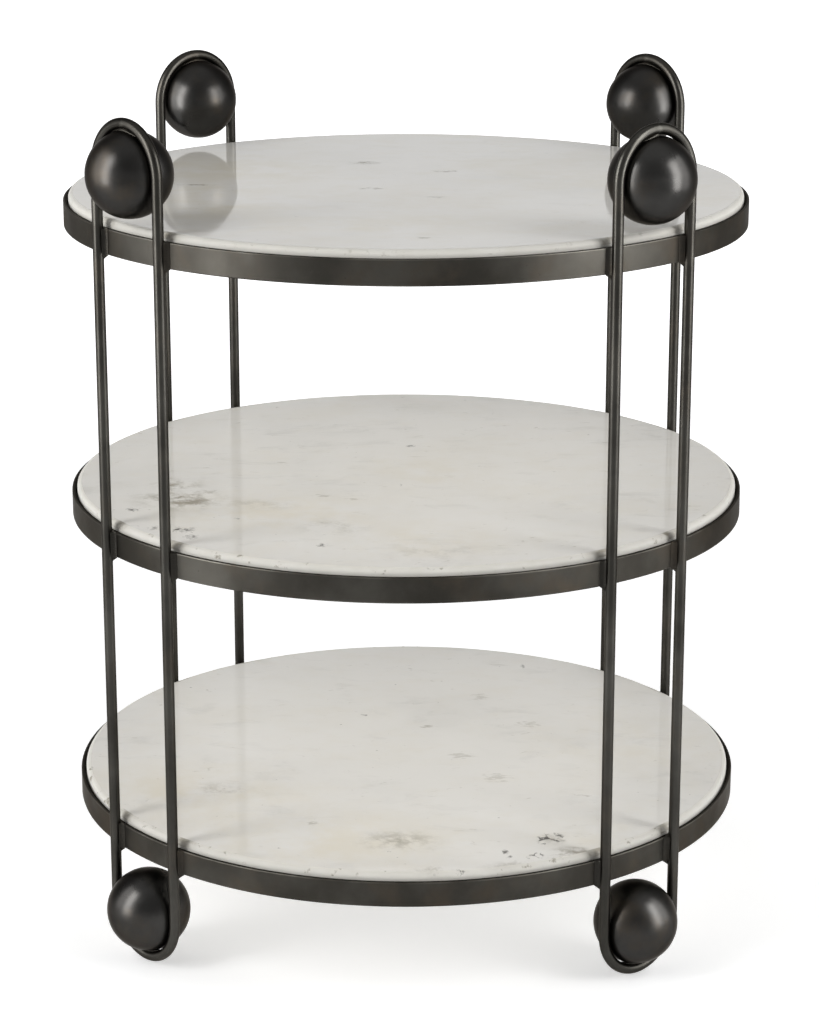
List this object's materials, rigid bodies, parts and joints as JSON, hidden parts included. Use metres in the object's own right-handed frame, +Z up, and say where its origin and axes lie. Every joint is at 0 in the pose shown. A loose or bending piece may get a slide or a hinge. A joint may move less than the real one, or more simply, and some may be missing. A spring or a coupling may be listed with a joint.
{
  "type": "tiered side table",
  "caption": "Round tiered side table: polished stone discs lying loose in flat-bar metal rings, carried by tall closed rod loops with a metal ball held in every loop end.",
  "frame": {"origin": "on the floor, under the table's vertical axis", "axes": "+Z up the table's axis; the loops stand at +Y (back), -X (left), -Y (front) and +X (right)"},
  "size_m": [0.5804, 0.5804, 0.638],
  "materials": {
    "bar_metal": "dark blackened bronze, satin, lightly brushed",
    "ball_metal": "dark blackened bronze, satin with soft highlights",
    "weld_metal": "ground weld beads under the dark finish",
    "marble": "polished white marble with faint grey and beige clouds, streaks and pits",
    "bumper_rubber": "soft translucent grey bumper pads"
  },
  "bodies": {
    "frame": {"bottom_ring": "bar_metal", "middle_ring": "bar_metal", "top_ring": "bar_metal", "back_loop": "bar_metal", "left_loop": "bar_metal", "front_loop": "bar_metal", "right_loop": "bar_metal", "bottom_shelf_tabs": "bar_metal", "middle_shelf_tabs": "bar_metal", "top_shelf_tabs": "bar_metal", "upper_ball_studs": "bar_metal", "lower_ball_studs": "bar_metal", "back_upper_ball": "ball_metal", "left_upper_ball": "ball_metal", "front_upper_ball": "ball_metal", "right_upper_ball": "ball_metal", "back_lower_ball": "ball_metal", "left_lower_ball": "ball_metal", "front_lower_ball": "ball_metal", "right_lower_ball": "ball_metal", "bottom_ring_welds": "weld_metal", "middle_ring_welds": "weld_metal", "top_ring_welds": "weld_metal", "bottom_shelf_pads": "bumper_rubber", "middle_shelf_pads": "bumper_rubber", "top_shelf_pads": "bumper_rubber"},
    "top_slab": {"top_slab": "marble"},
    "middle_slab": {"middle_slab": "marble"},
    "bottom_slab": {"bottom_slab": "marble"}
  },
  "joints": [
    {"name": "top_slab_lift", "type": "slide", "parent": "frame", "child": "top_slab", "axis": [0, 0, 1], "range_m": [0, 0.005]},
    {"name": "middle_slab_lift", "type": "slide", "parent": "frame", "child": "middle_slab", "axis": [0, 0, 1], "range_m": [0, 0.196]},
    {"name": "bottom_slab_lift", "type": "slide", "parent": "frame", "child": "bottom_slab", "axis": [0, 0, 1], "range_m": [0, 0.2]}
  ]
}
